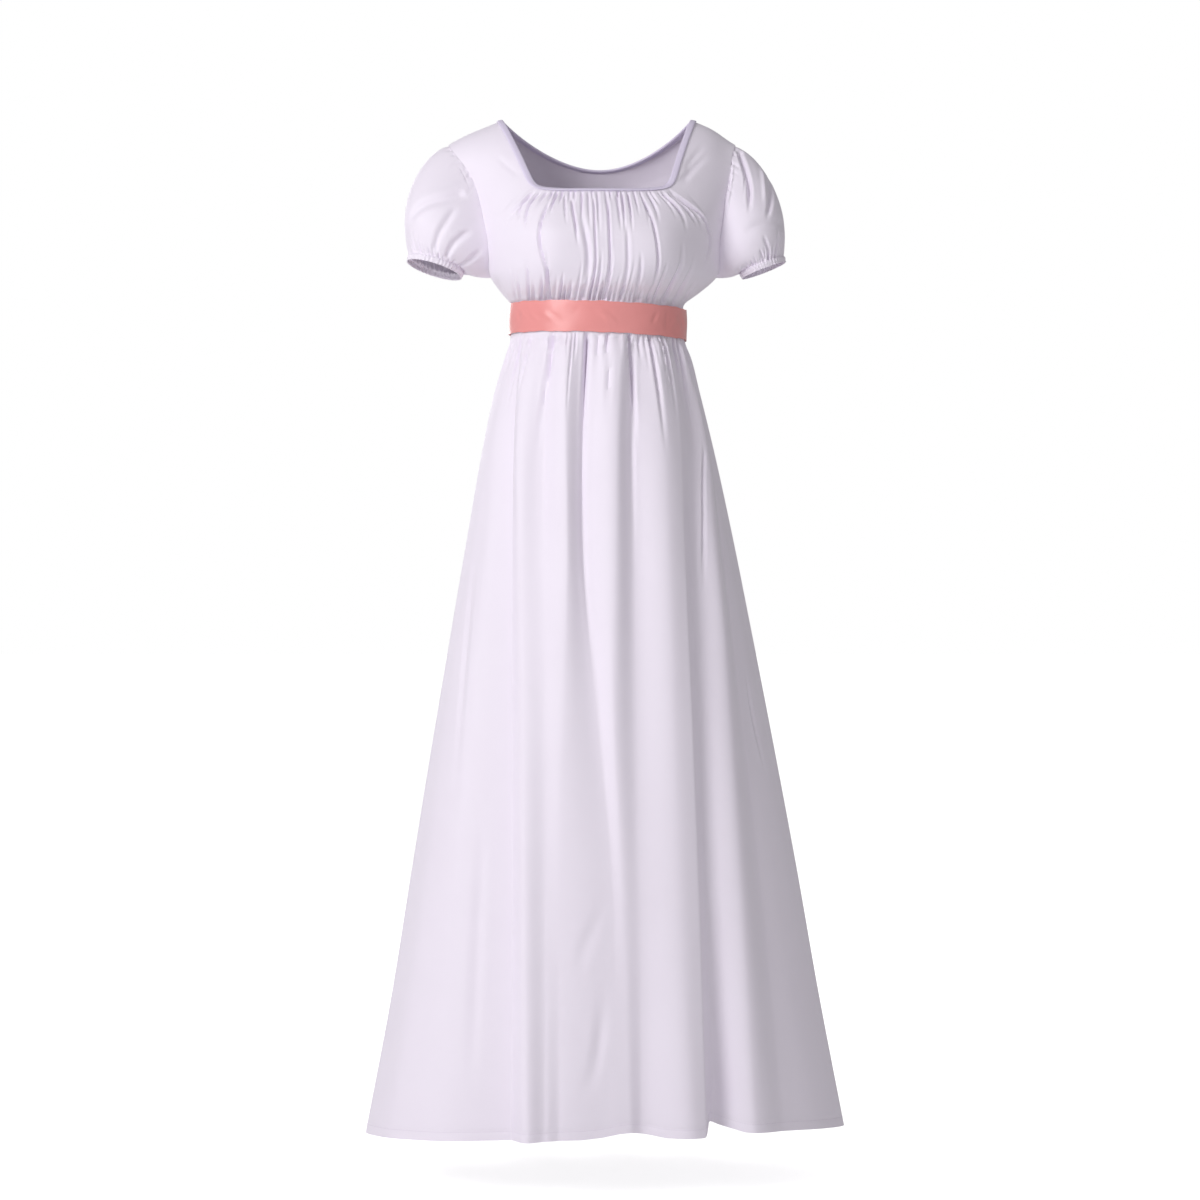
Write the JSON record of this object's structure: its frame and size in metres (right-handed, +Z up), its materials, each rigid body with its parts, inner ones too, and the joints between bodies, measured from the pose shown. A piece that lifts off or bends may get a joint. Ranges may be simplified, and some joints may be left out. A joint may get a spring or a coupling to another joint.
{
  "type": "regency gown",
  "caption": "White high-waisted gown with a gathered square-neck bodice, short puff sleeves, a pink ribbon sash and a long hollow A-line skirt in soft folds.",
  "frame": {"origin": "midway between the two points where the shoulder seams meet the neckline, where the wearer's shoulders hold the gown", "axes": "+Z up along the gown's length, -Y towards the front of the gown, +X towards the wearer's left; the front-to-back depth along Y is the shortest extent"},
  "size_m": [0.654, 0.4981, 1.3856],
  "materials": {
    "gown_cloth": "smooth white cotton sateen with a soft sheen",
    "sash_ribbon": "pink satin ribbon"
  },
  "bodies": {
    "root": {"bodice_front": "gown_cloth", "bodice_back": "gown_cloth", "neck_binding": "gown_cloth", "sleeve_left": "gown_cloth", "sleeve_right": "gown_cloth", "skirt_front": "gown_cloth", "skirt_back": "gown_cloth", "sash": "sash_ribbon"}
  },
  "joints": []
}
